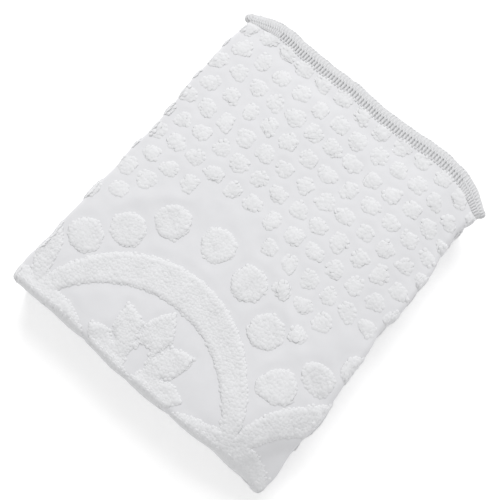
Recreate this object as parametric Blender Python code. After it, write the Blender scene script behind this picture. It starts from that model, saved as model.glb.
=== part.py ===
"""A fringed chenille bedspread, folded into a flat packet and lying on a table.

The bedspread is one sheet of tufted cotton.  It was first doubled, then folded in
three across (X) into a long strip six layers thick, and the strip was then folded
back and forth in four along its length (Y).  The strip's top end is the hem that
carries the fringe, and it faces +Y.  Metres, +Z up, standing on Z = 0.
"""

import math

import bmesh
import bpy

# ---------------------------------------------------------------- sizes, metres
CLOTH = 0.0025            # the tufted cloth with its pile pressed flat
LAYER = 0.0031            # one layer to the next inside the strip
STRIP = 6 * LAYER         # the strip's thickness
BUNDLE = STRIP + 0.0009   # one pass of the strip to the next
HALF_WIDTH = 0.2305       # middle of the packet to a side fold
END_FOLD_Y = -0.2765      # nose of the folds at the closed end
BACK_FOLD_Y = 0.2600      # nose of the hidden fold under the hem
HEM_Y = 0.2560            # hem of the top pass, where the fringe starts
LAST_HEM_Y = 0.2480       # hem of the lowest pass, at the other end of the cloth
FLATTEN = 0.70            # an end fold's depth against a round one's
FREE_EDGE_X = -0.2200     # the two cut ends of the cloth, at the lower left

HEADING = 0.0035          # sewn heading of the fringe, out from the hem
FRINGE = 0.0245           # the fringe's whole length
FRINGE_THICK = 0.0019
FRINGE_GAP = 0.0003       # heading to the cloth's edge
FRINGE_FALL = 0.0065      # how far the ends of the cords hang down
CORD_GROUP = 0.0170       # a group of cords along the hem, and the slot after it
CORD_SLOT = 0.0070

# Facet lines: across every layer, along each pass of the strip, and round an end fold
CREASE_X = (-0.110, 0.030, 0.125, 0.180)
PASS_FACETS = (9, 4, 4, 4)
END_FOLD_FACETS = 4

# The folds across, in the order the cloth takes them: side it turns at, level it
# leaves, level it arrives at (0 lowest of the six), and facets round the turn.
FOLDS_ACROSS = (
    (+1, 0, 5, 5),
    (-1, 5, 2, 4),
    (+1, 2, 3, 3),
    (-1, 3, 4, 3),
    (+1, 4, 1, 4),
)
# The height in the strip, in layers, of the axis that the turns of each side share
TURN_AXIS = {+1: 3.0, -1: 4.0}

# The packet's sides bulge and draw in: place along the side, how far out, half length
RIGHT_SIDE = ((0.215, -0.0052, 0.024), (0.175, -0.0060, 0.034), (0.075, 0.0015, 0.030),
              (0.005, -0.0062, 0.028), (-0.145, 0.0072, 0.030), (-0.196, 0.0036, 0.026),
              (-0.242, 0.0072, 0.034))
LEFT_SIDE = ((0.262, -0.0088, 0.024), (0.035, -0.0034, 0.040), (-0.100, 0.0022, 0.040),
             (-0.160, 0.0024, 0.030), (-0.236, 0.0066, 0.036))
HEM_SIDE = ((-0.240, -0.0070, 0.018), (-0.165, 0.0050, 0.050), (0.045, -0.0036, 0.052),
            (0.245, -0.0290, 0.048))
CLOSED_SIDE = ((-0.165, -0.0058, 0.085), (0.140, -0.0035, 0.034), (0.245, 0.0125, 0.026))

CLOTH_COLOUR = (0.80, 0.80, 0.81, 1.0)
FRINGE_COLOUR = (0.82, 0.82, 0.83, 1.0)


def clear_scene():
    for obj in list(bpy.data.objects):
        bpy.data.objects.remove(obj, do_unlink=True)


def make_material(name, colour, roughness):
    material = bpy.data.materials.new(name)
    material.use_nodes = True
    surface = material.node_tree.nodes["Principled BSDF"]
    surface.inputs["Base Color"].default_value = colour
    surface.inputs["Roughness"].default_value = roughness
    surface.inputs["Metallic"].default_value = 0.0
    material.diffuse_color = colour
    return material


def ease(start, end, value):
    """0 before start, 1 after end, and smooth between them."""
    t = min(1.0, max(0.0, (value - start) / (end - start)))
    return t * t * (3.0 - 2.0 * t)


def side_line(table, along):
    """How far a side stands out of its straight line at one place along it."""
    return sum(out * math.exp(-(((along - at) / half) ** 2)) for at, out, half in table)


def settle(x, y, z):
    """Moves a point of the squared-up packet to where the soft cloth lies."""
    # The lower passes don't line up exactly with the top one
    slip = math.sin(z / 0.0125)
    right = side_line(RIGHT_SIDE, y) * ease(0.0, 0.074, z)
    left = side_line(LEFT_SIDE, y) * ease(0.0, 0.074, z)
    hem = side_line(HEM_SIDE, x)
    closed = side_line(CLOSED_SIDE, x) * ease(0.0, 0.050, z)
    moved_x = (x + right * ease(0.09, 0.225, x) - left * ease(0.09, 0.225, -x)
               + 0.0013 * slip * ease(-0.05, -0.25, y))
    moved_y = (y + hem * ease(0.06, 0.27, y) - closed * ease(0.08, 0.27, -y)
               - 0.0012 * slip * ease(0.0, 0.2, x))
    # The pile of layers is fullest in the middle and gives way towards the right
    # side and most at the right-hand corner of the closed end
    across, along = x / 0.236, y / 0.280
    corner = min(1.05, max(0.0, (0.62 * x - 0.78 * y - 0.25) / 0.11)) ** 2
    full = (1.0 + 0.030 * (1.0 - across ** 2) * (1.0 - along ** 2)
            - 0.110 * ease(0.150, 0.240, x) - 0.030 * ease(0.170, 0.240, -x)
            - 0.045 * ease(0.200, 0.285, y) - 0.030 * ease(0.200, 0.280, -y)
            - 0.460 * corner
            + 0.012 * math.sin(13.0 * x + 7.0 * y + 0.6))
    return moved_x, moved_y, z * full


def section():
    """The strip's cross-section: (x, height, normal x, normal height, facet sense) along
    the middle of the cloth from one cut end to the other."""
    left = -HALF_WIDTH + 1.5 * LAYER + 0.5 * CLOTH
    right = HALF_WIDTH - 2.5 * LAYER - 0.5 * CLOTH
    middle = 0.5 * STRIP
    points = []
    x, level = FREE_EDGE_X, 0
    for turn_side, leaves, arrives, facets in FOLDS_ACROSS:
        end = right if turn_side > 0 else left
        height = (leaves + 0.5) * LAYER - middle
        heading = 1.0 if end > x else -1.0
        for at in (x, *sorted(CREASE_X, reverse=heading < 0)):
            points.append((at, height, 0.0, heading, heading))
        axis = TURN_AXIS[turn_side] * LAYER - middle
        radius = abs(arrives - leaves) * 0.5 * LAYER
        rise = 1.0 if arrives > leaves else -1.0
        for k in range(facets):
            angle = math.pi * k / facets
            out, up = math.sin(angle) * turn_side, -math.cos(angle) * rise
            # Walking with the normal on the same hand all the way round
            hand = -1.0 if turn_side * rise > 0 else 1.0
            points.append((end + radius * out, axis + radius * up, hand * out, hand * up, rise))
        x, level = end, arrives
    height = (level + 0.5) * LAYER - middle
    heading = 1.0 if FREE_EDGE_X > x else -1.0
    for at in (x, *sorted(CREASE_X, reverse=True), FREE_EDGE_X):
        points.append((at, height, 0.0, heading, heading))
    return points


def strip_line():
    """The middle of the strip on its way through the packet: (y, z, up y, up z, sense)
    from the fringed hem, on top, to the other hem, at the bottom."""
    nose = 0.5 * (BUNDLE + STRIP) * FLATTEN
    front, back = END_FOLD_Y + nose, BACK_FOLD_Y - nose
    base = 0.5 * STRIP - 0.5 * (LAYER - CLOTH)
    runs = ((HEM_Y, front), (front, back), (back, front), (front, LAST_HEM_Y))
    stations = []
    for number, ((start, end), facets) in enumerate(zip(runs, PASS_FACETS)):
        z = base + (3 - number) * BUNDLE
        up = 1.0 if number % 2 == 0 else -1.0
        sense = 1.0 if end > start else -1.0
        last = number == len(runs) - 1
        for k in range(facets + (1 if last else 0)):
            stations.append((start + (end - start) * k / facets, z, 0.0, up, sense))
        if last:
            break
        for k in range(END_FOLD_FACETS):
            angle = math.pi * k / END_FOLD_FACETS
            out = math.sin(angle) * FLATTEN * sense
            radius = 0.5 * BUNDLE
            stations.append((end + radius * out, z - radius + radius * math.cos(angle),
                             up * out, up * math.cos(angle), 1.0))
    return stations


def place(station, x, height):
    """A point of the strip's cross-section, carried to one place along the strip."""
    y, z, up_y, up_z, _ = station
    return settle(x, y + height * up_y, z + height * up_z)


def add_object(name, bm, colour, roughness):
    bmesh.ops.recalc_face_normals(bm, faces=bm.faces)
    mesh = bpy.data.meshes.new(name)
    bm.to_mesh(mesh)
    bm.free()
    mesh.materials.append(make_material(name, colour, roughness))
    obj = bpy.data.objects.new(name, mesh)
    bpy.context.scene.collection.objects.link(obj)
    return obj


def split_face(bm, a, b, c, d, flip):
    """A four-cornered facet as two triangles, split the same way in every layer."""
    if flip:
        bm.faces.new((a, b, d))
        bm.faces.new((b, c, d))
    else:
        bm.faces.new((a, b, c))
        bm.faces.new((a, c, d))


def make_spread():
    """The whole folded cloth, as one closed sheet."""
    middle_line, stations = section(), strip_line()
    last = len(middle_line) - 1
    bm = bmesh.new()
    rings = []
    for station in stations:
        ring = []
        for hand in (0.5, -0.5):
            ring.append([bm.verts.new(place(station, x + hand * CLOTH * nx, h + hand * CLOTH * nh))
                         for x, h, nx, nh, _ in middle_line])
        rings.append(ring)
    for (near, far), station in zip(zip(rings, rings[1:]), stations):
        for face in (0, 1):
            for i in range(last):
                flip = middle_line[i][4] * station[4] < 0
                split_face(bm, near[face][i], near[face][i + 1], far[face][i + 1],
                           far[face][i], flip)
        for i in (0, last):
            split_face(bm, near[0][i], near[1][i], far[1][i], far[0][i], False)
    for ring in (rings[0], rings[-1]):
        for i in range(last):
            split_face(bm, ring[0][i], ring[0][i + 1], ring[1][i + 1], ring[1][i], False)
    return add_object("spread", bm, CLOTH_COLOUR, 0.92)


def comb_cuts():
    """The hem's line cut into groups of cords and slots: (facet of the section, share of
    the way along it, True where a group of cords follows)."""
    line = section()
    cuts, start, group_from, in_group = [], 0.0, 0.0, True
    for i, (a, b) in enumerate(zip(line, line[1:])):
        length = math.hypot(b[0] - a[0], b[1] - a[1])
        straight = abs(a[2]) < 1e-6 and abs(b[2]) < 1e-6
        cuts.append((i, 0.0, in_group))
        while straight:
            turn_at = group_from + (CORD_GROUP if in_group else CORD_SLOT)
            if turn_at > start + length - 0.0015:
                break
            share = (turn_at - start) / length
            in_group, group_from = not in_group, turn_at
            if share > 0.004:
                cuts.append((i, share, in_group))
            else:
                cuts[-1] = (i, 0.0, in_group)
        start += length
    cuts.append((len(line) - 2, 1.0, False))
    return cuts


def hem_points(y, fall):
    """The fringe's two faces at one distance from the hem, facet for facet with it."""
    z = strip_line()[0][1]
    faces = []
    for hand in (0.5, -0.5):
        face = []
        for x, h, nx, nh, _ in section():
            sx, sy, sz = settle(x + hand * FRINGE_THICK * nx, y,
                                z + h + hand * FRINGE_THICK * nh)
            face.append((sx, sy, sz - fall))
        faces.append(face)
    return faces


def make_fringe():
    """One comb along the hem: a sewn heading with groups of cords standing out of it."""
    cuts = comb_cuts()
    rows = [hem_points(HEM_Y + FRINGE_GAP, 0.0), hem_points(HEM_Y + HEADING, 0.0004),
            hem_points(HEM_Y + FRINGE, FRINGE_FALL)]
    bm = bmesh.new()
    verts = {}

    def corner(i, k, face):
        if (i, k, face) not in verts:
            facet, share, _ = cuts[i]
            a, b = rows[k][face][facet], rows[k][face][facet + 1]
            verts[i, k, face] = bm.verts.new([p + (q - p) * share for p, q in zip(a, b)])
        return verts[i, k, face]

    def wall(i, k, j, m):
        bm.faces.new((corner(i, k, 0), corner(j, m, 0), corner(j, m, 1), corner(i, k, 1)))

    filled = [(True, cut[2]) for cut in cuts[:-1]]
    for i, column in enumerate(filled):
        for k in (0, 1):
            if not column[k]:
                continue
            for face in (0, 1):
                bm.faces.new((corner(i, k, face), corner(i + 1, k, face),
                              corner(i + 1, k + 1, face), corner(i, k + 1, face)))
            if k == 0:
                wall(i, 0, i + 1, 0)
            if k == 1 or not column[1]:
                wall(i, k + 1, i + 1, k + 1)
            if i == 0 or not filled[i - 1][k]:
                wall(i, k, i, k + 1)
            if i == len(filled) - 1 or not filled[i + 1][k]:
                wall(i + 1, k, i + 1, k + 1)
    bmesh.ops.triangulate(bm, faces=bm.faces)
    return add_object("fringe", bm, FRINGE_COLOUR, 0.88)


def centre_on_base(objects):
    """Puts the middle of the packet's base at the origin."""
    corners = [v.co for obj in objects for v in obj.data.vertices]
    shift_x = -0.5 * (min(c.x for c in corners) + max(c.x for c in corners))
    shift_y = -0.5 * (min(c.y for c in corners) + max(c.y for c in corners))
    for corner in corners:
        corner.x += shift_x
        corner.y += shift_y


clear_scene()
centre_on_base([make_spread(), make_fringe()])
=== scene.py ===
import math
import random

import bmesh
import bpy
import numpy as np
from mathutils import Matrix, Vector


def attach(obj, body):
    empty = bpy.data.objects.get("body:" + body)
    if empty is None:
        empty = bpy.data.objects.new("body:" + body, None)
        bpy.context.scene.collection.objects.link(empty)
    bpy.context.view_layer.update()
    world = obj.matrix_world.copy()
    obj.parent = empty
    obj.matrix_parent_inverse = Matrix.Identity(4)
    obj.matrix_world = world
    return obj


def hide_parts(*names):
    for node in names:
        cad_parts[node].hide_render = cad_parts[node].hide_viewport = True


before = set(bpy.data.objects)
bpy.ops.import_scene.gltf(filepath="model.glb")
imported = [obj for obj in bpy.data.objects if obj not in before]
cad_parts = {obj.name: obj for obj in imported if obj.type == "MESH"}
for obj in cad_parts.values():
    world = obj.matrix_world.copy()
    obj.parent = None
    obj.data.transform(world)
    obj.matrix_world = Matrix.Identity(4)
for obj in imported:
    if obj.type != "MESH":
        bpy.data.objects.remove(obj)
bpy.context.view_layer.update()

scene = bpy.context.scene

# ============================================================ the cotton cloth
# The bedspread is one piece of plain-woven cotton sheeting, tufted over one face.
# It is doubled, folded in three across into a strip of six layers, and the strip is
# laid back and forth in four. Here it is one thin closed sheet on those folds.

CLOTH = 0.0025
LAYER = 0.0031
STRIP = 6 * LAYER
BUNDLE = STRIP + 0.0009
HALF_WIDTH = 0.2305
END_FOLD_Y = -0.2765
BACK_FOLD_Y = 0.2600
HEM_Y = 0.2560
LAST_HEM_Y = 0.2480
FLATTEN = 0.70
FREE_EDGE_X = -0.2200
MIDDLE = (-0.00095, -0.00023)      # puts the middle of the packet's base at the origin

# The turns across: side, level it leaves, level it arrives at (0 is the lowest)
FOLDS_ACROSS = ((+1, 0, 5), (-1, 5, 2), (+1, 2, 3), (-1, 3, 4), (+1, 4, 1))
TURN_AXIS = {+1: 3.0, -1: 4.0}
LEFT_TURN = -HALF_WIDTH + 1.5 * LAYER + 0.5 * CLOTH
RIGHT_TURN = HALF_WIDTH - 2.5 * LAYER - 0.5 * CLOTH

# How the packet's sides bulge and draw in: place along the side, how far, half length
RIGHT_SIDE = ((0.215, -0.0052, 0.024), (0.175, -0.0060, 0.034), (0.075, 0.0015, 0.030),
              (0.005, -0.0062, 0.028), (-0.145, 0.0072, 0.030), (-0.196, 0.0036, 0.026),
              (-0.242, 0.0072, 0.034))
LEFT_SIDE = ((0.262, -0.0088, 0.024), (0.035, -0.0034, 0.040), (-0.100, 0.0022, 0.040),
             (-0.160, 0.0024, 0.030), (-0.236, 0.0066, 0.036))
HEM_SIDE = ((-0.240, -0.0070, 0.018), (-0.165, 0.0050, 0.050), (0.045, -0.0036, 0.052),
            (0.245, -0.0290, 0.048))
CLOSED_SIDE = ((-0.165, -0.0058, 0.085), (0.140, -0.0035, 0.034), (0.245, 0.0125, 0.026))


def ease(start, end, value):
    """0 before start, 1 after end, and smooth between them."""
    t = np.clip((value - start) / (end - start), 0.0, 1.0)
    return t * t * (3.0 - 2.0 * t)


def side_line(table, along):
    return sum(out * np.exp(-(((along - at) / half) ** 2)) for at, out, half in table)


def settle(x, y, z):
    """Where the soft cloth lies: fullest in the middle, its sides uneven, the lower
    passes slipped a little, and the corner nearest the closed end's right sunk."""
    slip = np.sin(z / 0.0125)
    right = side_line(RIGHT_SIDE, y) * ease(0.0, 0.074, z)
    left = side_line(LEFT_SIDE, y) * ease(0.0, 0.074, z)
    closed = side_line(CLOSED_SIDE, x) * ease(0.0, 0.050, z)
    moved_x = (x + right * ease(0.09, 0.225, x) - left * ease(0.09, 0.225, -x)
               + 0.0013 * slip * ease(-0.05, -0.25, y))
    moved_y = (y + side_line(HEM_SIDE, x) * ease(0.06, 0.27, y)
               - closed * ease(0.08, 0.27, -y) - 0.0012 * slip * ease(0.0, 0.2, x))
    # Each pass buckles in its own way at its folds
    aside, ahead = ease(0.14, 0.23, np.abs(x)), ease(0.17, 0.27, np.abs(y))
    moved_x = moved_x + np.sign(x) * aside * (0.0009 * np.sin(47.0 * y + 95.0 * z + 0.8)
                                              + 0.0006 * np.sin(88.0 * y - 130.0 * z))
    moved_y = moved_y + np.sign(y) * ahead * (0.0008 * np.sin(41.0 * x + 100.0 * z + 2.0)
                                              + 0.0005 * np.sin(83.0 * x - 120.0 * z))
    across, along = x / 0.236, y / 0.280
    corner = np.clip((0.62 * x - 0.78 * y - 0.25) / 0.11, 0.0, 1.05) ** 2
    # It drops off the lower edge of the tufted band there
    hollow = (ease(0.0, 0.022, 0.166 - np.hypot(x - 0.325, y + 0.311))
              * ease(0.160, 0.215, x))
    rolled = ease(0.180, 0.250, x) * ease(-0.090, -0.180, y)
    fallen = (0.120 * hollow + 0.110 * rolled) * (1.0 - 0.90 * np.clip(corner, 0.0, 1.0))
    full = (1.0 + 0.030 * (1.0 - across ** 2) * (1.0 - along ** 2)
            - 0.110 * ease(0.150, 0.240, x) - 0.030 * ease(0.170, 0.240, -x)
            - 0.025 * ease(0.200, 0.285, y) - 0.030 * ease(0.200, 0.280, -y)
            - 0.460 * corner - fallen
            + 0.012 * np.sin(13.0 * x + 7.0 * y + 0.6))
    return np.stack([moved_x + MIDDLE[0], moved_y + MIDDLE[1], z * full], axis=-1)


def walk_across(fine=0.0036, coarse=0.110):
    """The strip's cross-section from one cut end of the cloth to the other, as rows of
    place across, x, height, normal x and normal height. The place is x itself on the
    top layer."""
    rows, x, level, walked = [], FREE_EDGE_X, 0, 0.0
    turns = list(FOLDS_ACROSS) + [None]
    for number, turn in enumerate(turns):
        end = (RIGHT_TURN if turn[0] > 0 else LEFT_TURN) if turn else FREE_EDGE_X
        height = (level + 0.5) * LAYER - 0.5 * STRIP
        heading = 1.0 if end > x else -1.0
        steps = max(2, round(abs(end - x) / (fine if number == 1 else coarse)))
        if number == 1:
            top_start = walked + abs(x)
        for k in range(steps + (0 if turn else 1)):
            t = k / steps
            rows.append((walked + abs(end - x) * t, x + (end - x) * t, height, 0.0, heading))
        walked += abs(end - x)
        if not turn:
            break
        side, leaves, arrives = turn
        radius = abs(arrives - leaves) * 0.5 * LAYER
        axis = TURN_AXIS[side] * LAYER - 0.5 * STRIP
        rise = 1.0 if arrives > leaves else -1.0
        hand = -side * rise
        steps = 4 + 2 * abs(arrives - leaves)
        for k in range(steps):
            angle = math.pi * k / steps
            out, up = math.sin(angle) * side, -math.cos(angle) * rise
            rows.append((walked + radius * angle, end + radius * out, axis + radius * up,
                         hand * out, hand * up))
        walked += math.pi * radius
        x, level = end, arrives
    rows = np.array(rows)
    # Walking on the top layer goes towards -X, so the place is counted down
    rows[:, 0] = top_start - rows[:, 0]
    # The tufted face is the outside of the top layer
    top = rows[np.argmin(np.abs(rows[:, 0]))]
    if top[4] < 0:
        rows[:, 3:] *= -1.0
    return rows


def walk_along(fine=0.0038, coarse=0.024):
    """The strip's way through the packet: place along, y, z, up y, up z. The place is y
    itself on the top pass, and goes on below it at the length of the outside."""
    nose = 0.5 * (BUNDLE + STRIP) * FLATTEN
    front, back = END_FOLD_Y + nose, BACK_FOLD_Y - nose
    base = 0.5 * STRIP - 0.5 * (LAYER - CLOTH)
    outer = 0.5 * (BUNDLE + STRIP)
    bend = math.pi * math.sqrt(0.5 * (1.0 + FLATTEN ** 2)) * outer
    runs = ((HEM_Y, front), (front, back), (back, front), (front, LAST_HEM_Y))
    rows, place, spans = [], HEM_Y, []
    for number, (start, end) in enumerate(runs):
        z = base + (3 - number) * BUNDLE
        up = 1.0 if number % 2 == 0 else -1.0
        sense = 1.0 if end > start else -1.0
        last = number == 3
        steps = round(abs(end - start) / (fine if number == 0 else coarse))
        for k in range(steps + (1 if last else 0)):
            t = k / steps
            rows.append((place - abs(end - start) * t, start + (end - start) * t, z, 0.0, up))
        place -= abs(end - start)
        if last:
            break
        spans.append((place - bend, place))
        steps = 14 if number != 1 else 10
        for k in range(steps):
            angle = math.pi * k / steps
            out = math.sin(angle) * FLATTEN * sense
            radius = 0.5 * BUNDLE
            rows.append((place - bend * k / steps, end + radius * out,
                         z - radius + radius * math.cos(angle), up * out,
                         up * math.cos(angle)))
        place -= bend
    return np.array(rows), spans


ACROSS = walk_across()
ALONG, END_SPANS = walk_along()
ACROSS_FINE = walk_across(0.002, 0.01)
ALONG_FINE, _ = walk_along(0.004, 0.008)


def read_rows(rows, place):
    """The rows' values at any place, between the two rows next to it."""
    order = np.argsort(rows[:, 0])
    return [np.interp(place, rows[order, 0], rows[order, k]) for k in range(1, 5)]


def on_cloth(across, along, lift):
    """A point of the cloth: across and along it, and lift above the middle of its
    thickness."""
    x, h, nx, nh = read_rows(ACROSS_FINE, across)
    y, z, uy, uz = read_rows(ALONG_FINE, along)
    return settle(x + lift * nx, y + (h + lift * nh) * uy, z + (h + lift * nh) * uz)


# The pattern, as it is stamped on the sheeting before it is tufted. It repeats across
# the cloth and turns over at the end fold, and every place on it is in metres.
FOLD_LINE = -0.2770                # the pattern turns over here, at the end fold
SCALLOP_PITCH = 0.345
SCALLOP_MIDDLE = -0.0175
RING_OUTER = (0.0, 0.1785)         # its middle from the fold line, radius
RING_INNER = (-0.0415, 0.1630)
RING_ASIDE = (0.0015, 0.0008)      # how far each is off the scallop's middle
# Small dots stand in staggered rows. Where the field stops above a scallop: row number,
# and the plain stretch either side of the scallop's middle
DOT_ROWS, DOT_TOP, DOT_ROW_STEP, DOT_PITCH = 10, 0.2450, 0.0353, 0.0374
DOT_SIZE = (0.0146, 0.0129)
FIELD_STOPS = {7: (-0.092, 0.040), 8: (-0.140, 0.090), 9: (-0.162, 0.146),
               10: (-0.2, 0.2)}
# Big dots over one scallop, from its left cusp: across, y
BIG_DOTS = ((0.000, -0.158), (0.040, -0.111), (0.083, -0.061), (0.156, -0.046),
            (0.226, -0.061), (0.288, -0.098))
BIG_SIZE = 0.0280
# The plume: leaves fanned from a foot on the fold line, with a plain eye at its heart
# and a plain crease between each leaf and the next
PLUME_WIDE, PLUME_TALL = 0.092, 0.120     # half its width, its height
LEAF_TURN = math.radians(36)       # from the middle of one leaf to the next
LEAF_NOTCH = 0.30                  # how far the rim dips between two pointed leaves
EYE_UP, EYE_WIDE, EYE_TALL = 0.032, 0.013, 0.022
CREASE_REACH = (0.056, 0.140)      # from the foot
CREASE_HALF = 0.0008               # half a crease's width
LENS = (0.097, 0.033)              # the low mound at each cusp, half length and height
REPEAT = 0.56775                   # from one line where the pattern turns over to the next


def plume_depth(off, up):
    """How deep a place lies in a plume: off its middle line, and up from its foot."""
    angle = np.arctan2(off, up)
    rim = 1.0 / np.hypot(np.sin(angle) / PLUME_WIDE, np.cos(angle) / PLUME_TALL)
    from_tip = 2.0 * np.abs((angle / LEAF_TURN + 0.5) % 1.0 - 0.5)
    depth = rim * (1.0 - LEAF_NOTCH * from_tip ** 0.9) - np.hypot(off, up)
    for number in (-1.5, -0.5, 0.5, 1.5):
        out, rise = math.sin(number * LEAF_TURN), math.cos(number * LEAF_TURN)
        along = np.clip(off * out + up * rise, *CREASE_REACH)
        depth = np.minimum(depth, np.hypot(off - along * out, up - along * rise) - CREASE_HALF)
    eye = (1.0 - np.hypot(off / EYE_WIDE, (up - EYE_UP) / EYE_TALL)) * EYE_WIDE
    return np.minimum(depth, -eye)


def small_dots():
    spots, rng = [], random.Random(11)
    for row in range(-1, DOT_ROWS):
        y = DOT_TOP - row * DOT_ROW_STEP
        for column in range(-3, 26):
            x = -0.2010 + (column - 1) * DOT_PITCH + (0.5 * DOT_PITCH if row % 2 == 0 else 0.0)
            x += 0.0022 * math.sin(9.0 * x + 2.0 * row) + rng.uniform(-0.0014, 0.0014)
            spot = (x, y + rng.uniform(-0.0012, 0.0012), rng.uniform(0.90, 1.08),
                    rng.uniform(0.90, 1.10), rng.uniform(0, 6.28))
            low, high = FIELD_STOPS.get(row, (1.0, -1.0))
            off = (x - SCALLOP_MIDDLE + 0.5 * SCALLOP_PITCH) % SCALLOP_PITCH - 0.5 * SCALLOP_PITCH
            if not low < off < high:
                spots.append(spot)
    return spots


def motif_depths(across, along):
    """How deep each place lies inside each kind of motif, in metres: the field's small
    dots, the big dots, the scallops with their mounds, and the plumes."""
    x = across
    y = FOLD_LINE + REPEAT - np.abs((along - FOLD_LINE) % (2 * REPEAT) - REPEAT)
    # The pattern isn't quite square on the cloth by the right side
    y = y - 0.012 * (ease(0.115, 0.165, x) * ease(-0.070, -0.110, y)
                     * ease(-0.277, -0.232, y))
    small = np.full(x.shape, -1.0)
    for cx, cy, wide, tall, phase in small_dots():
        dx, dy = (x - cx) / (DOT_SIZE[0] * wide), (y - cy) / (DOT_SIZE[1] * tall)
        near = (np.abs(dx) < 2.0) & (np.abs(dy) < 2.0)
        if near.any():
            a = np.arctan2(dy[near], dx[near])
            r = (np.abs(dx[near]) ** 2.2 + np.abs(dy[near]) ** 2.2) ** (1 / 2.2)
            r = r * (1.0 + 0.07 * np.sin(2 * a + phase) + 0.06 * np.sin(3 * a + 2 * phase))
            small[near] = np.maximum(small[near], (1.0 - r) * DOT_SIZE[1])
    big = np.full(x.shape, -1.0)
    cusp = SCALLOP_MIDDLE - 0.5 * SCALLOP_PITCH
    for turn in (-1, 0, 1, 2):
        for number, (dx, cy) in enumerate(BIG_DOTS):
            cx = cusp + turn * SCALLOP_PITCH + dx
            a = np.arctan2(y - cy, x - cx)
            r = np.hypot(x - cx, y - cy) * (1.0 + 0.03 * np.sin(3 * a + number)
                                            + 0.02 * np.sin(7 * a + 2 * number + turn))
            big = np.maximum(big, BIG_SIZE - r)
    off = (x - SCALLOP_MIDDLE + 0.5 * SCALLOP_PITCH) % SCALLOP_PITCH - 0.5 * SCALLOP_PITCH
    outer = RING_OUTER[1] - np.hypot(off + RING_ASIDE[0], y - FOLD_LINE - RING_OUTER[0])
    inner = np.hypot(off - RING_ASIDE[1], y - FOLD_LINE - RING_INNER[0]) - RING_INNER[1]
    ring = np.minimum(outer, inner)
    to_cusp = 0.5 * SCALLOP_PITCH - np.abs(off)
    lens = (1.0 - np.hypot(to_cusp / LENS[0], (y - FOLD_LINE) / LENS[1])) * LENS[1]
    ring = np.maximum(ring, lens)
    plume = plume_depth(off, y - FOLD_LINE)
    return {"field_tufts": small, "big_dot_tufts": big, "scallop_tufts": ring,
            "plume_tufts": plume}


# Soft ridges and troughs in the top: from (x, y) to (x, y), height, half width
CREASES = (((0.045, -0.012), (0.172, -0.105), 0.0016, 0.010),
           ((0.172, -0.105), (0.226, -0.128), -0.0018, 0.011),
           ((-0.100, -0.010), (-0.205, -0.092), 0.0010, 0.012),
           ((0.150, -0.150), (0.215, -0.205), 0.0014, 0.012),
           ((-0.232, 0.236), (0.190, 0.228), -0.0008, 0.010),
           ((-0.040, 0.020), (0.060, 0.030), 0.0008, 0.016),
           ((0.020, -0.150), (0.052, -0.235), 0.0009, 0.012),
           ((-0.070, -0.205), (-0.100, -0.262), 0.0009, 0.011))


def ground_relief(x, y, depth):
    """How far the cloth stands off its folds: drawn down by the stitches, puffed up
    between the motifs, gently waved, and with a few soft creases."""
    relief = 0.0007 * (1.0 - np.exp(-((np.minimum(depth, 0.0) / 0.0085) ** 2))) - 0.0003
    relief = relief + 0.0006 * np.sin(31.0 * x - 17.0 * y) + 0.0005 * np.sin(23.0 * y + 41.0 * x)
    relief = relief + 0.0003 * np.sin(118.0 * x + 60.0 * y) * np.sin(95.0 * y - 40.0 * x)
    for (x0, y0), (x1, y1), high, wide in CREASES:
        dx, dy = x1 - x0, y1 - y0
        t = np.clip(((x - x0) * dx + (y - y0) * dy) / (dx * dx + dy * dy), 0.0, 1.0)
        away = np.hypot(x - x0 - dx * t, y - y0 - dy * t)
        relief = relief + high * np.exp(-((away / wide) ** 2)) * np.sin(math.pi * (0.12 + 0.76 * t))
    free = (ease(-0.234, -0.219, x) * ease(-0.234, -0.219, -x)
            * ease(-0.270, -0.252, y) * ease(-0.257, -0.247, -y))
    return relief * free


def link(tree, a, out, b, into):
    tree.links.new(a.outputs[out], b.inputs[into])


def weave_group():
    """Plain weave: threads over and under, from the cloth's own coordinates in metres."""
    group = bpy.data.node_groups.new("plain_weave", "ShaderNodeTree")
    for name, kind, way in (("Cloth Place", "NodeSocketVector", "INPUT"),
                            ("Threads per Metre", "NodeSocketFloat", "INPUT"),
                            ("Height", "NodeSocketFloat", "OUTPUT"),
                            ("Slub", "NodeSocketFloat", "OUTPUT")):
        group.interface.new_socket(name=name, in_out=way, socket_type=kind)
    nodes = group.nodes
    inside, outside = nodes.new("NodeGroupInput"), nodes.new("NodeGroupOutput")
    scaled = nodes.new("ShaderNodeVectorMath"); scaled.operation = "SCALE"
    group.links.new(inside.outputs["Cloth Place"], scaled.inputs[0])
    group.links.new(inside.outputs["Threads per Metre"], scaled.inputs["Scale"])
    split = nodes.new("ShaderNodeSeparateXYZ")
    link(group, scaled, "Vector", split, "Vector")
    waves = []
    for axis in ("X", "Y"):
        wave = nodes.new("ShaderNodeMath"); wave.operation = "MULTIPLY"
        wave.inputs[1].default_value = math.pi
        link(group, split, axis, wave, 0)
        sine = nodes.new("ShaderNodeMath"); sine.operation = "SINE"
        link(group, wave, 0, sine, 0)
        waves.append(sine)
    product = nodes.new("ShaderNodeMath"); product.operation = "MULTIPLY"
    link(group, waves[0], 0, product, 0)
    link(group, waves[1], 0, product, 1)
    slub = nodes.new("ShaderNodeTexNoise")
    slub.inputs["Scale"].default_value = 0.06
    slub.inputs["Detail"].default_value = 3.0
    link(group, scaled, "Vector", slub, "Vector")
    height = nodes.new("ShaderNodeMath"); height.operation = "MULTIPLY_ADD"
    height.inputs[1].default_value = 0.35
    link(group, product, 0, height, 0)
    link(group, slub, "Fac", height, 2)
    group.links.new(height.outputs[0], outside.inputs["Height"])
    group.links.new(slub.outputs["Fac"], outside.inputs["Slub"])
    return group


PLAIN_WEAVE = weave_group()


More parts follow.
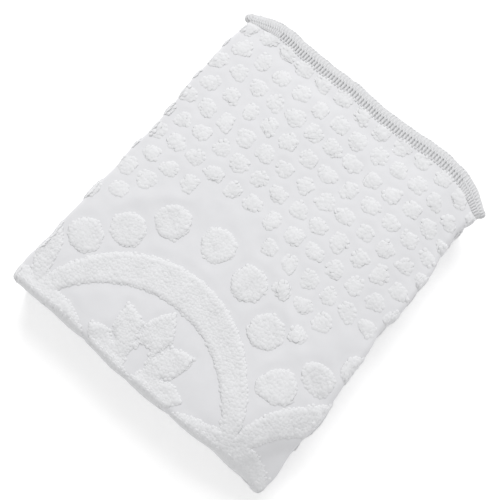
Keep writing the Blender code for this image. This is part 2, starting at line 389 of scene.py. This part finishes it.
def new_surface(name):
    material = bpy.data.materials.new(name)
    material.use_nodes = True
    return material, material.node_tree, material.node_tree.nodes["Principled BSDF"]


def sheeting():
    """White cotton sheeting, washed soft: matt, with a faint bloom of loose fibre."""
    material, tree, cotton = new_surface("cotton_sheeting")
    place = tree.nodes.new("ShaderNodeUVMap"); place.uv_map = "cloth"
    weave = tree.nodes.new("ShaderNodeGroup"); weave.node_tree = PLAIN_WEAVE
    weave.inputs["Threads per Metre"].default_value = 1300.0
    link(tree, place, "UV", weave, "Cloth Place")
    shade = tree.nodes.new("ShaderNodeMix"); shade.data_type = "RGBA"
    shade.inputs["A"].default_value = (0.715, 0.716, 0.735, 1.0)
    shade.inputs["B"].default_value = (0.745, 0.746, 0.762, 1.0)
    tree.links.new(weave.outputs["Slub"], shade.inputs["Factor"])
    tree.links.new(shade.outputs["Result"], cotton.inputs["Base Color"])
    bump = tree.nodes.new("ShaderNodeBump")
    bump.inputs["Strength"].default_value = 0.25
    bump.inputs["Distance"].default_value = 0.0003
    link(tree, weave, "Height", bump, "Height")
    link(tree, bump, "Normal", cotton, "Normal")
    cotton.inputs["Roughness"].default_value = 0.95
    cotton.inputs["Specular IOR Level"].default_value = 0.15
    cotton.inputs["Sheen Weight"].default_value = 0.12
    cotton.inputs["Sheen Roughness"].default_value = 0.6
    return material


SHEETING = sheeting()


def make_cloth():
    wide, long = len(ACROSS), len(ALONG)
    places = np.repeat(ACROSS[None, :, 0], long, 0), np.repeat(ALONG[:, :1], wide, 1)
    grids = []
    for hand in (0.5, -0.5):
        lift = np.full((long, wide), hand * CLOTH)
        if hand > 0:
            deepest = np.maximum.reduce(list(motif_depths(*places).values()))
            lift = lift + ground_relief(*places, deepest)
        x, h, nx, nh = (ACROSS[None, :, k] for k in range(1, 5))
        y, z, uy, uz = (ALONG[:, None, k] for k in range(1, 5))
        reach = h + lift * nh
        grids.append(settle(x + lift * nx, y + reach * uy, z + reach * uz))
    verts = np.concatenate([g.reshape(-1, 3) for g in grids])
    one = long * wide
    at = np.arange(one).reshape(long, wide)
    quads = np.stack([at[:-1, :-1], at[:-1, 1:], at[1:, 1:], at[1:, :-1]], -1).reshape(-1, 4)
    faces = [quads, quads[:, ::-1] + one]
    for line, turn in ((at[0], 1), (at[-1], -1), (at[:, 0], -1), (at[:, -1], 1)):
        rim = np.stack([line[:-1], line[:-1] + one, line[1:] + one, line[1:]], -1)
        faces.append(rim[:, ::turn])
    faces = np.concatenate(faces)
    mesh = bpy.data.meshes.new("cloth")
    mesh.from_pydata(verts.tolist(), [], faces.tolist())
    spots = np.concatenate([np.stack(places, -1).reshape(-1, 2)] * 2)
    uv = mesh.uv_layers.new(name="cloth")
    loops = np.empty(len(mesh.loops), dtype=np.int32)
    mesh.loops.foreach_get("vertex_index", loops)
    uv.data.foreach_set("uv", spots[loops].astype(np.float32).ravel())
    smooth = np.ones(len(faces), dtype=bool)
    smooth[2 * len(quads):] = False
    mesh.polygons.foreach_set("use_smooth", smooth)
    mesh.materials.append(SHEETING)
    cloth = bpy.data.objects.new("cloth", mesh)
    scene.collection.objects.link(cloth)
    return cloth


def faces_outwards(obj):
    """Turns a closed mesh the right way if it came out inside out."""
    bm = bmesh.new()
    bm.from_mesh(obj.data)
    if bm.calc_volume(signed=True) < 0:
        bmesh.ops.reverse_faces(bm, faces=bm.faces)
        bm.to_mesh(obj.data)
    bm.free()


cloth = make_cloth()
faces_outwards(cloth)
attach(cloth, "root")
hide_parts("spread")

# ======================================================== the chenille tufts
# Thick soft cotton yarn, punched through the sheeting in close rows, cut and brushed
# until each stitch blooms into a small pompon. The rows run lengthwise, and runs of
# them draw the pattern: a field of small dots, big dots, scallops and plumes.

ROW_GAUGE = 0.0044                 # between rows
STITCH = 0.0035                    # between the stitches of a row
WANDER = (0.00035, 0.00040)        # how far a stitch strays, across and along
# How far inside its line the first stitch of a small dot, big dot, scallop or plume is
INSET = (0.0012, 0.0026, 0.0026, 0.0014)
OFF_FLOOR = 0.0060                 # no stitch blooms lower than this
# How wide and how high a stitch blooms: the field is brushed flattest
PILE = {"field_tufts": (0.0122, 0.0013), "big_dot_tufts": (0.0120, 0.0017),
        "scallop_tufts": (0.0116, 0.0021), "plume_tufts": (0.0110, 0.0019),
        "fold_tufts": (0.0116, 0.0019)}


def shows(across, along):
    """The places that are seen from outside: the top pass, the end folds and, all the
    way down, the side folds."""
    side = (across > RIGHT_TURN) & (across < RIGHT_TURN + 2.3 * 2.5 * LAYER)
    side |= (across < LEFT_TURN) & (across > LEFT_TURN - 2.2 * 1.5 * LAYER)
    face = (across > LEFT_TURN - 0.008) & (across < RIGHT_TURN + 0.012)
    top = face & (along > END_SPANS[0][1]) & (along < HEM_Y - 0.0015)
    ends = face & np.logical_or.reduce([(along < high) & (along > low + 0.004)
                                        for low, high in (END_SPANS[0], END_SPANS[2])])
    under = across > RIGHT_TURN + 2.7 * 2.5 * LAYER
    back = under & (across < 0.68) & (along < END_SPANS[1][1]) & (along > END_SPANS[1][0])
    return top | ends | side & (along < HEM_Y - 0.0015) | back


def tuft_places():
    """Every stitch of every row that falls inside a motif and shows."""
    rng = np.random.default_rng(5)
    low, high = ALONG[:, 0].min() + 0.003, HEM_Y - 0.0015
    rows = np.arange(math.floor(-0.262 / ROW_GAUGE), math.ceil(0.70 / ROW_GAUGE))
    stitches = np.arange(math.floor(low / STITCH), math.ceil(high / STITCH))
    row, stitch = np.meshgrid(rows, stitches)
    across = row * ROW_GAUGE + rng.normal(0, WANDER[0], row.shape)
    along = (stitch + 0.5 * (row % 2)) * STITCH + rng.normal(0, WANDER[1], row.shape)
    keep = shows(across, along) & (along > low) & (along < high)
    across, along = across[keep], along[keep]
    depths = motif_depths(across, along)
    names = list(depths)
    stack = np.stack([depths[n] for n in names])
    kind, depth = stack.argmax(0), stack.max(0)
    ragged = rng.normal(0, 0.0004, depth.shape)
    uneven = np.where(kind == 0, 0.0004, 0.0010)
    ragged = ragged + uneven * (np.sin(510.0 * across + 190.0 * along)
                                * np.sin(470.0 * along - 160.0 * across))
    keep = depth + ragged > np.array(INSET)[kind]
    across, along, kind, depth = across[keep], along[keep], kind[keep], depth[keep]
    # The way out of the motif, for the lean of the stitches at its edge
    step = 0.0015
    slopes = []
    for dx, dy in ((step, 0.0), (0.0, step)):
        a = np.stack(list(motif_depths(across + dx, along + dy).values())).max(0)
        b = np.stack(list(motif_depths(across - dx, along - dy).values())).max(0)
        slopes.append((a - b) / (2 * step))
    return across, along, kind, depth, np.stack(slopes, -1), names


def tuft_tree():
    """Places one pompon on every point, stood on its own lean and turned at random."""
    tree = bpy.data.node_groups.new("tufting", "GeometryNodeTree")
    face = tree.interface
    face.new_socket(name="Stitches", in_out="INPUT", socket_type="NodeSocketGeometry")
    sizes = {}
    for name, value in (("Tuft Width", 0.0108), ("Tuft Height", 0.0025),
                        ("Raggedness", 0.00022), ("Raggedness Scale", 300.0)):
        socket = face.new_socket(name=name, in_out="INPUT", socket_type="NodeSocketFloat")
        socket.default_value = value
        sizes[name] = socket.identifier
    socket = face.new_socket(name="Yarn", in_out="INPUT", socket_type="NodeSocketMaterial")
    sizes["Yarn"] = socket.identifier
    face.new_socket(name="Tufts", in_out="OUTPUT", socket_type="NodeSocketGeometry")
    nodes, links = tree.nodes, tree.links
    inside, outside = nodes.new("NodeGroupInput"), nodes.new("NodeGroupOutput")
    ball = nodes.new("GeometryNodeMeshUVSphere")
    ball.inputs["Segments"].default_value = 7
    ball.inputs["Rings"].default_value = 4
    ball.inputs["Radius"].default_value = 0.5

    def read(name, kind):
        node = nodes.new("GeometryNodeInputNamedAttribute")
        node.data_type = kind
        node.inputs["Name"].default_value = name
        return node

    stand = nodes.new("FunctionNodeAlignRotationToVector")
    stand.axis = "Z"
    links.new(read("stands", "FLOAT_VECTOR").outputs["Attribute"], stand.inputs["Vector"])
    spin = nodes.new("FunctionNodeAxisAngleToRotation")
    spin.inputs["Axis"].default_value = (0.0, 0.0, 1.0)
    links.new(read("turned", "FLOAT").outputs["Attribute"], spin.inputs["Angle"])
    turn = nodes.new("FunctionNodeRotateRotation")
    turn.rotation_space = "LOCAL"
    links.new(stand.outputs["Rotation"], turn.inputs["Rotation"])
    links.new(spin.outputs["Rotation"], turn.inputs["Rotate By"])
    size = nodes.new("ShaderNodeCombineXYZ")
    links.new(inside.outputs["Tuft Width"], size.inputs["X"])
    links.new(inside.outputs["Tuft Width"], size.inputs["Y"])
    double = nodes.new("ShaderNodeMath"); double.operation = "MULTIPLY"
    double.inputs[1].default_value = 1.55
    links.new(inside.outputs["Tuft Height"], double.inputs[0])
    links.new(double.outputs[0], size.inputs["Z"])
    grown = nodes.new("ShaderNodeVectorMath"); grown.operation = "SCALE"
    links.new(size.outputs["Vector"], grown.inputs[0])
    links.new(read("grown", "FLOAT").outputs["Attribute"], grown.inputs["Scale"])
    stitch = nodes.new("GeometryNodeInstanceOnPoints")
    links.new(inside.outputs["Stitches"], stitch.inputs["Points"])
    raised = nodes.new("GeometryNodeTransform")
    raised.inputs["Translation"].default_value = (0.0, 0.0, 0.145)
    links.new(ball.outputs["Mesh"], raised.inputs["Geometry"])
    links.new(raised.outputs["Geometry"], stitch.inputs["Instance"])
    links.new(turn.outputs["Rotation"], stitch.inputs["Rotation"])
    links.new(grown.outputs["Vector"], stitch.inputs["Scale"])
    real = nodes.new("GeometryNodeRealizeInstances")
    links.new(stitch.outputs["Instances"], real.inputs["Geometry"])
    # Cut yarn never blooms into a clean ball
    fluff = nodes.new("ShaderNodeTexNoise")
    fluff.inputs["Detail"].default_value = 1.0
    links.new(inside.outputs["Raggedness Scale"], fluff.inputs["Scale"])
    where = nodes.new("GeometryNodeInputPosition")
    links.new(where.outputs["Position"], fluff.inputs["Vector"])
    centred = nodes.new("ShaderNodeVectorMath"); centred.operation = "SUBTRACT"
    centred.inputs[1].default_value = (0.5, 0.5, 0.5)
    links.new(fluff.outputs["Color"], centred.inputs[0])
    pushed = nodes.new("ShaderNodeVectorMath"); pushed.operation = "SCALE"
    links.new(centred.outputs["Vector"], pushed.inputs[0])
    doubled = nodes.new("ShaderNodeMath"); doubled.operation = "MULTIPLY"
    doubled.inputs[1].default_value = 4.0
    links.new(inside.outputs["Raggedness"], doubled.inputs[0])
    links.new(doubled.outputs[0], pushed.inputs["Scale"])
    moved = nodes.new("GeometryNodeSetPosition")
    links.new(real.outputs["Geometry"], moved.inputs["Geometry"])
    links.new(pushed.outputs["Vector"], moved.inputs["Offset"])
    smooth = nodes.new("GeometryNodeSetShadeSmooth")
    links.new(moved.outputs["Geometry"], smooth.inputs["Geometry"])
    yarn = nodes.new("GeometryNodeSetMaterial")
    links.new(smooth.outputs["Geometry"], yarn.inputs["Geometry"])
    links.new(inside.outputs["Yarn"], yarn.inputs["Material"])
    links.new(yarn.outputs["Geometry"], outside.inputs["Tufts"])
    return tree, sizes


def fibre_group():
    """The loose fibre of cut or twisted cotton yarn: a fine height and a soft mottle."""
    group = bpy.data.node_groups.new("cotton_fibre", "ShaderNodeTree")
    for name, kind, way in (("Place", "NodeSocketVector", "INPUT"),
                            ("Fineness", "NodeSocketFloat", "INPUT"),
                            ("Height", "NodeSocketFloat", "OUTPUT"),
                            ("Mottle", "NodeSocketFloat", "OUTPUT")):
        group.interface.new_socket(name=name, in_out=way, socket_type=kind)
    nodes = group.nodes
    inside, outside = nodes.new("NodeGroupInput"), nodes.new("NodeGroupOutput")
    fine, broad = nodes.new("ShaderNodeTexNoise"), nodes.new("ShaderNodeTexNoise")
    fine.inputs["Detail"].default_value = 3.0
    fine.inputs["Distortion"].default_value = 0.6
    broad.inputs["Scale"].default_value = 140.0
    broad.inputs["Detail"].default_value = 2.0
    group.links.new(inside.outputs["Place"], fine.inputs["Vector"])
    group.links.new(inside.outputs["Fineness"], fine.inputs["Scale"])
    group.links.new(inside.outputs["Place"], broad.inputs["Vector"])
    group.links.new(fine.outputs["Fac"], outside.inputs["Height"])
    group.links.new(broad.outputs["Fac"], outside.inputs["Mottle"])
    return group


COTTON_FIBRE = fibre_group()


def brushed_yarn(name, dark, light, fineness, depth):
    material, tree, cotton = new_surface(name)
    place = tree.nodes.new("ShaderNodeTexCoord")
    fibre = tree.nodes.new("ShaderNodeGroup"); fibre.node_tree = COTTON_FIBRE
    fibre.inputs["Fineness"].default_value = fineness
    link(tree, place, "Object", fibre, "Place")
    shade = tree.nodes.new("ShaderNodeMix"); shade.data_type = "RGBA"
    shade.inputs["A"].default_value = dark
    shade.inputs["B"].default_value = light
    tree.links.new(fibre.outputs["Mottle"], shade.inputs["Factor"])
    tree.links.new(shade.outputs["Result"], cotton.inputs["Base Color"])
    bump = tree.nodes.new("ShaderNodeBump")
    bump.inputs["Strength"].default_value = 0.6
    bump.inputs["Distance"].default_value = depth
    link(tree, fibre, "Height", bump, "Height")
    link(tree, bump, "Normal", cotton, "Normal")
    cotton.inputs["Roughness"].default_value = 1.0
    cotton.inputs["Specular IOR Level"].default_value = 0.1
    cotton.inputs["Sheen Weight"].default_value = 0.25
    cotton.inputs["Sheen Roughness"].default_value = 0.5
    return material


# Painted light: the chenille's colours are set a little lighter than the sheeting's, to make up for
# the shade among the close pompons. The soft mottle between them is the yarn's own.
CHENILLE = brushed_yarn("brushed_chenille", (0.722, 0.725, 0.738, 1.0),
                        (0.768, 0.770, 0.781, 1.0), 520.0, 0.0006)


def bake_nodes(obj, name):
    """The modifier's result as a plain mesh on an object of its own."""
    ready = obj.evaluated_get(bpy.context.evaluated_depsgraph_get())
    mesh = bpy.data.meshes.new_from_object(ready)
    mesh.name = name
    obj.modifiers.clear()
    bpy.data.objects.remove(obj, do_unlink=True)
    made = bpy.data.objects.new(name, mesh)
    scene.collection.objects.link(made)
    return made


def make_tufts():
    across, along, kind, depth, slope, names = tuft_places()
    rng = np.random.default_rng(7)
    ground = 0.5 * CLOTH + ground_relief(across, along, depth)
    rest = on_cloth(across, along, ground)
    above = on_cloth(across, along, ground + 0.001)
    near, face = 0.0005, 0.5 * CLOTH
    right = on_cloth(across + near, along, face) - on_cloth(across - near, along, face)
    up = on_cloth(across, along + near, face) - on_cloth(across, along - near, face)
    normal = np.cross(right, up)
    normal /= np.linalg.norm(normal, axis=1, keepdims=True)
    normal *= np.sign((normal * (above - rest)).sum(1))[:, None]
    right /= np.linalg.norm(right, axis=1, keepdims=True)
    up /= np.linalg.norm(up, axis=1, keepdims=True)
    edge = 1.0 - ease(0.0030, 0.0085, depth)
    lean = -slope * (0.10 * edge)[:, None] + rng.normal(0, 0.030, slope.shape)
    stands = normal + lean[:, :1] * right + lean[:, 1:] * up
    stands /= np.linalg.norm(stands, axis=1, keepdims=True)
    grown = (1.0 - np.where(kind == 0, 0.32, 0.40) * edge) * rng.uniform(0.94, 1.06, len(edge))
    turned = rng.uniform(0.0, 2 * math.pi, len(edge))
    top_face = (along > END_SPANS[0][1]) & (across < RIGHT_TURN) & (across > LEFT_TURN)
    clear = rest[:, 2] > OFF_FLOOR
    tree, sockets = tuft_tree()
    groups = [(name, (kind == number) & top_face & clear) for number, name in enumerate(names)]
    groups.append(("fold_tufts", ~top_face & clear))
    made = []
    for name, chosen in groups:
        seeds = bpy.data.meshes.new(name + "_stitches")
        seeds.from_pydata((rest[chosen] - 0.0002 * normal[chosen]).tolist(), [], [])
        for key, kind_of, values in (("stands", "FLOAT_VECTOR", stands[chosen]),
                                     ("turned", "FLOAT", turned[chosen]),
                                     ("grown", "FLOAT", grown[chosen])):
            attribute = seeds.attributes.new(key, kind_of, "POINT")
            attribute.data.foreach_set("vector" if "VECTOR" in kind_of else "value",
                                       values.astype(np.float32).ravel())
        obj = bpy.data.objects.new(name + "_stitches", seeds)
        scene.collection.objects.link(obj)
        modifier = obj.modifiers.new("tufting", "NODES")
        modifier.node_group = tree
        modifier[sockets["Tuft Width"]], modifier[sockets["Tuft Height"]] = PILE[name]
        modifier[sockets["Yarn"]] = CHENILLE
        made.append(bake_nodes(obj, name))
    return made


tufts = make_tufts()
for piece in tufts:
    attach(piece, "root")

# ================================================================ the fringe
# Short loops of soft twisted cotton cord, side by side, caught in the hem by one row of
# stitching. The hem's fringe goes round every fold of the strip with it. Each loop is
# twisted tight at its root and opens towards its end, which falls over the edge.

FRINGE = 0.0275                    # a loop's length from its seam
LOOP_PITCH = 0.0057
LOOP_ROOT = 0.0020                 # how far a loop starts inside the hem
LOOP_FALL = (0.0038, 0.0055)       # how far its end falls, and how much more lower down
DROOP = 1.9                        # the fall gathers towards the end by this power
HEADING_OUTS = (-0.0030, 0.0020, 0.0070, 0.0110, 0.0135, 0.0160, 0.0190, 0.0213)
HEADING_LIFTS = (-0.0003, -0.0013)
HEADING_RISE, HEADING_FALL = 0.0013, 0.0042


def loop_tree():
    """Twists two strands about every line, to make a loop of cord."""
    tree = bpy.data.node_groups.new("looped_cords", "GeometryNodeTree")
    face = tree.interface
    face.new_socket(name="Lines", in_out="INPUT", socket_type="NodeSocketGeometry")
    sizes = {}
    for name, value in (("Strand Radius", 0.00200), ("Opening", 1.0)):
        socket = face.new_socket(name=name, in_out="INPUT", socket_type="NodeSocketFloat")
        socket.default_value = value
        sizes[name] = socket.identifier
    socket = face.new_socket(name="Yarn", in_out="INPUT", socket_type="NodeSocketMaterial")
    sizes["Yarn"] = socket.identifier
    face.new_socket(name="Cords", in_out="OUTPUT", socket_type="NodeSocketGeometry")
    nodes, links = tree.nodes, tree.links
    inside, outside = nodes.new("NodeGroupInput"), nodes.new("NodeGroupOutput")

    def read(name):
        node = nodes.new("GeometryNodeInputNamedAttribute")
        node.data_type = "FLOAT"
        node.inputs["Name"].default_value = name
        return node.outputs["Attribute"]

    def sum_up(kind, *values):
        node = nodes.new("ShaderNodeMath")
        node.operation = kind
        for number, value in enumerate(values):
            if isinstance(value, float):
                node.inputs[number].default_value = value
            else:
                links.new(value, node.inputs[number])
        return node.outputs[0]

    curve = nodes.new("GeometryNodeMeshToCurve")
    links.new(inside.outputs["Lines"], curve.inputs["Mesh"])
    level = nodes.new("GeometryNodeSetCurveNormal")
    level.mode = "Z_UP"
    links.new(curve.outputs["Curve"], level.inputs["Curve"])
    pair = nodes.new("GeometryNodeDuplicateElements")
    pair.domain = "SPLINE"
    pair.inputs["Amount"].default_value = 2
    links.new(level.outputs["Curve"], pair.inputs["Geometry"])
    half = sum_up("MULTIPLY", pair.outputs["Duplicate Index"], math.pi)
    angle = sum_up("ADD", half, read("wound"))
    reach = sum_up("MULTIPLY", read("spread"), inside.outputs["Opening"])
    normal = nodes.new("GeometryNodeInputNormal")
    tangent = nodes.new("GeometryNodeInputTangent")
    beside = nodes.new("ShaderNodeVectorMath"); beside.operation = "CROSS_PRODUCT"
    links.new(tangent.outputs["Tangent"], beside.inputs[0])
    links.new(normal.outputs["Normal"], beside.inputs[1])
    parts = []
    for way, turn in ((normal.outputs["Normal"], "COSINE"), (beside.outputs["Vector"], "SINE")):
        part = nodes.new("ShaderNodeVectorMath"); part.operation = "SCALE"
        links.new(way, part.inputs[0])
        links.new(sum_up("MULTIPLY", sum_up(turn, angle), reach), part.inputs["Scale"])
        parts.append(part)
    both = nodes.new("ShaderNodeVectorMath"); both.operation = "ADD"
    links.new(parts[0].outputs["Vector"], both.inputs[0])
    links.new(parts[1].outputs["Vector"], both.inputs[1])
    twisted = nodes.new("GeometryNodeSetPosition")
    links.new(pair.outputs["Geometry"], twisted.inputs["Geometry"])
    links.new(both.outputs["Vector"], twisted.inputs["Offset"])
    strand = nodes.new("GeometryNodeCurvePrimitiveCircle")
    strand.inputs["Resolution"].default_value = 5
    links.new(inside.outputs["Strand Radius"], strand.inputs["Radius"])
    solid = nodes.new("GeometryNodeCurveToMesh")
    solid.inputs["Fill Caps"].default_value = True
    links.new(twisted.outputs["Geometry"], solid.inputs["Curve"])
    links.new(strand.outputs["Curve"], solid.inputs["Profile Curve"])
    smooth = nodes.new("GeometryNodeSetShadeSmooth")
    links.new(solid.outputs["Mesh"], smooth.inputs["Geometry"])
    real = nodes.new("GeometryNodeRealizeInstances")
    links.new(smooth.outputs["Geometry"], real.inputs["Geometry"])
    yarn = nodes.new("GeometryNodeSetMaterial")
    links.new(real.outputs["Geometry"], yarn.inputs["Geometry"])
    links.new(inside.outputs["Yarn"], yarn.inputs["Material"])
    links.new(yarn.outputs["Geometry"], outside.inputs["Cords"])
    return tree, sizes


# Painted shade: the fringe yarn's two colours are set darker than the sheeting's, to stand in for
# the shade among and under the loops. The fine mottle between them is the yarn's own.
CORD_YARN_PAINTED_SHADE = brushed_yarn("fringe_yarn", (0.632, 0.635, 0.646, 1.0),
                         (0.688, 0.690, 0.698, 1.0), 1800.0, 0.0003)


def fan_at(place):
    """How far the loops turn aside, in radians, round the two corners of the hem."""
    left, right = LEFT_TURN - 1.5 * math.pi * LAYER, RIGHT_TURN + 2.5 * math.pi * LAYER
    aside = -0.95 * ease(LEFT_TURN + 0.050, LEFT_TURN - 0.008, place) * (place > left)
    return aside + 0.50 * ease(0.185, 0.226, place) * (place < right)


def drawn_in(place):
    """How much of the fringe's length is left where the hem turns its two corners."""
    left, right = (place - LEFT_TURN) / 0.030, (place - RIGHT_TURN) / 0.018
    return 1.0 - 0.19 * np.exp(-left ** 2) - 0.24 * np.exp(-right ** 2)


def make_cords():
    """A line for each loop, out from the hem and over the edge."""
    rng = random.Random(23)
    low, high = ACROSS[:, 0].min() + 0.003, ACROSS[:, 0].max() - 0.003
    verts, edges, spread, wound = [], [], [], []
    level = float(read_rows(ALONG_FINE, HEM_Y)[1])
    place = high
    while place > low:
        x, h, nx, nh = (float(v) for v in read_rows(ACROSS_FINE, place))
        on_top = LEFT_TURN < place < RIGHT_TURN
        round_left = LEFT_TURN - 1.5 * math.pi * LAYER < place <= LEFT_TURN
        round_right = RIGHT_TURN <= place < RIGHT_TURN + 2.5 * math.pi * LAYER
        sink = 1.0 - (h + 0.5 * STRIP) / STRIP
        fall = (LOOP_FALL[0] + LOOP_FALL[1] * sink) * rng.uniform(0.90, 1.10)
        fan = float(fan_at(place))
        if round_left or round_right:
            fall *= 0.8
        long = FRINGE * (rng.uniform(0.985, 1.010) + 0.02 * math.sin(place * 190.0))
        long *= float(drawn_in(place)) * (1.0 if on_top else 0.90)
        sway = rng.uniform(-0.03, 0.03) + 0.05 * math.sin(place * 47.0)
        root = settle(np.array(x), np.array(HEM_Y), np.array(level + h))
        first, ts = len(verts), [k / 11 * 0.88 for k in range(12)] + [0.94, 0.98, 1.0]
        for number, t in enumerate(ts):
            out = -LOOP_ROOT + long * (t - 0.10 * t ** 3)
            side = math.sin(fan) * out + sway * long * t * t
            verts.append((root[0] + side + 0.0005 * nx, root[1] + math.cos(fan) * out,
                          root[2] - fall * t ** DROOP + 0.0005 * nh))
            open_up = 0.00055 + 0.00170 * float(ease(0.36, 0.58, t))
            close = max(0.0, 1.0 - (max(0.0, t - 0.84) / 0.16) ** 2) ** 0.32
            spread.append(open_up * close)
            wound.append(2 * math.pi * (1.0 - min(1.0, t / 0.52)) + rng.uniform(-0.10, 0.10))
            if number:
                edges.append((first + number - 1, first + number))
        place -= LOOP_PITCH * (0.62 if fan else 1.0)
    mesh = bpy.data.meshes.new("loop_lines")
    mesh.from_pydata(verts, edges, [])
    for name, values in (("spread", spread), ("wound", wound)):
        attribute = mesh.attributes.new(name, "FLOAT", "POINT")
        attribute.data.foreach_set("value", np.array(values, dtype=np.float32))
    obj = bpy.data.objects.new("loop_lines", mesh)
    scene.collection.objects.link(obj)
    tree, sockets = loop_tree()
    modifier = obj.modifiers.new("looped_cords", "NODES")
    modifier.node_group = tree
    # The cords take the fringe yarn, with its painted shade.
    modifier[sockets["Yarn"]] = CORD_YARN_PAINTED_SHADE
    return bake_nodes(obj, "fringe_cords")


def make_heading():
    """The tape that the loops are woven to: it lies under them nearly to their ends."""
    rows = ACROSS[(ACROSS[:, 0] > ACROSS[:, 0].min() + 0.002)
                  & (ACROSS[:, 0] < ACROSS[:, 0].max() - 0.002)]
    outs = np.array(HEADING_OUTS)
    fan = fan_at(rows[:, 0])[:, None]
    shells = []
    level = float(read_rows(ALONG_FINE, HEM_Y)[1])
    for lift in HEADING_LIFTS:
        height = rows[:, 2] + lift * rows[:, 4]
        line = settle(rows[:, 1] + lift * rows[:, 3], np.full(len(rows), HEM_Y), level + height)
        shell = np.repeat(line[:, None, :], len(outs), 1)
        reach = drawn_in(rows[:, 0])[:, None] * outs
        shell[:, :, 0] += np.sin(fan) * reach
        shell[:, :, 1] += np.cos(fan) * reach
        shell[:, :, 2] += (HEADING_RISE * ease(0.0105, 0.0150, outs)
                           - HEADING_FALL * (np.clip(outs, 0, 1) / FRINGE) ** DROOP)
        shells.append(shell.reshape(-1, 3))
    one, wide = len(shells[0]), len(outs)
    at = np.arange(one).reshape(len(rows), wide)
    quads = np.stack([at[:-1, :-1], at[:-1, 1:], at[1:, 1:], at[1:, :-1]], -1).reshape(-1, 4)
    faces = [quads, quads[:, ::-1] + one]
    for line, turn in ((at[0], 1), (at[-1], -1), (at[:, 0], -1), (at[:, -1], 1)):
        rim = np.stack([line[:-1], line[:-1] + one, line[1:] + one, line[1:]], -1)
        faces.append(rim[:, ::turn])
    mesh = bpy.data.meshes.new("fringe_heading")
    mesh.from_pydata(np.concatenate(shells).tolist(), [], np.concatenate(faces).tolist())
    # The tape takes the same fringe yarn, with its painted shade.
    mesh.materials.append(CORD_YARN_PAINTED_SHADE)
    heading = bpy.data.objects.new("fringe_heading", mesh)
    scene.collection.objects.link(heading)
    faces_outwards(heading)
    return heading


cords, heading = make_cords(), make_heading()
for piece in (cords, heading):
    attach(piece, "root")
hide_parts("fringe")

# ================================================= the floor, light and camera
# A plain pale floor that runs out of sight, one large soft light from beyond the fringed
# hem and an even sky. The camera looks almost straight down, a little from the closed
# end's right corner.


FLOOR = 30.0                       # half its width


def make_floor():
    mesh = bpy.data.meshes.new("floor")
    mesh.from_pydata([(-FLOOR, -FLOOR, 0), (FLOOR, -FLOOR, 0), (FLOOR, FLOOR, 0),
                      (-FLOOR, FLOOR, 0)], [], [(0, 1, 2, 3)])
    material, _, paper = new_surface("pale_floor")
    paper.inputs["Base Color"].default_value = (0.96, 0.96, 0.96, 1.0)
    paper.inputs["Roughness"].default_value = 0.9
    paper.inputs["Emission Color"].default_value = (1.0, 1.0, 1.0, 1.0)
    paper.inputs["Emission Strength"].default_value = 0.22
    mesh.materials.append(material)
    floor = bpy.data.objects.new("floor", mesh)
    floor.location.z = -0.0005
    scene.collection.objects.link(floor)
    return floor


make_floor()

lamp = bpy.data.lights.new("soft_key", "AREA")
lamp.shape, lamp.size, lamp.size_y = "RECTANGLE", 3.4, 3.0
lamp.energy = 178.0
key = bpy.data.objects.new("soft_key", lamp)
key.location = (-1.67, 3.84, 3.26)
key.rotation_euler = (Vector((0.0, 0.0, 0.04)) - key.location).to_track_quat("-Z", "Y").to_euler()
scene.collection.objects.link(key)

world = bpy.data.worlds.new("even_sky")
world.use_nodes = True
world.node_tree.nodes["Background"].inputs["Color"].default_value = (1.0, 1.0, 1.0, 1.0)
world.node_tree.nodes["Background"].inputs["Strength"].default_value = 0.70
scene.world = world
scene.view_settings.view_transform = "Standard"

lens = bpy.data.cameras.new("camera")
lens.sensor_width = 36.0
lens.lens = 50.0
camera = bpy.data.objects.new("camera", lens)
turn, rise, far = math.radians(39.6), math.radians(80.1), 1.030
aim = Vector((0.00125, -0.0182, 0.050))
back = Vector((math.sin(turn) * math.cos(rise), -math.cos(turn) * math.cos(rise), math.sin(rise)))
camera.location = aim + back * far
camera.rotation_euler = back.to_track_quat("Z", "Y").to_euler()
scene.collection.objects.link(camera)
scene.camera = camera
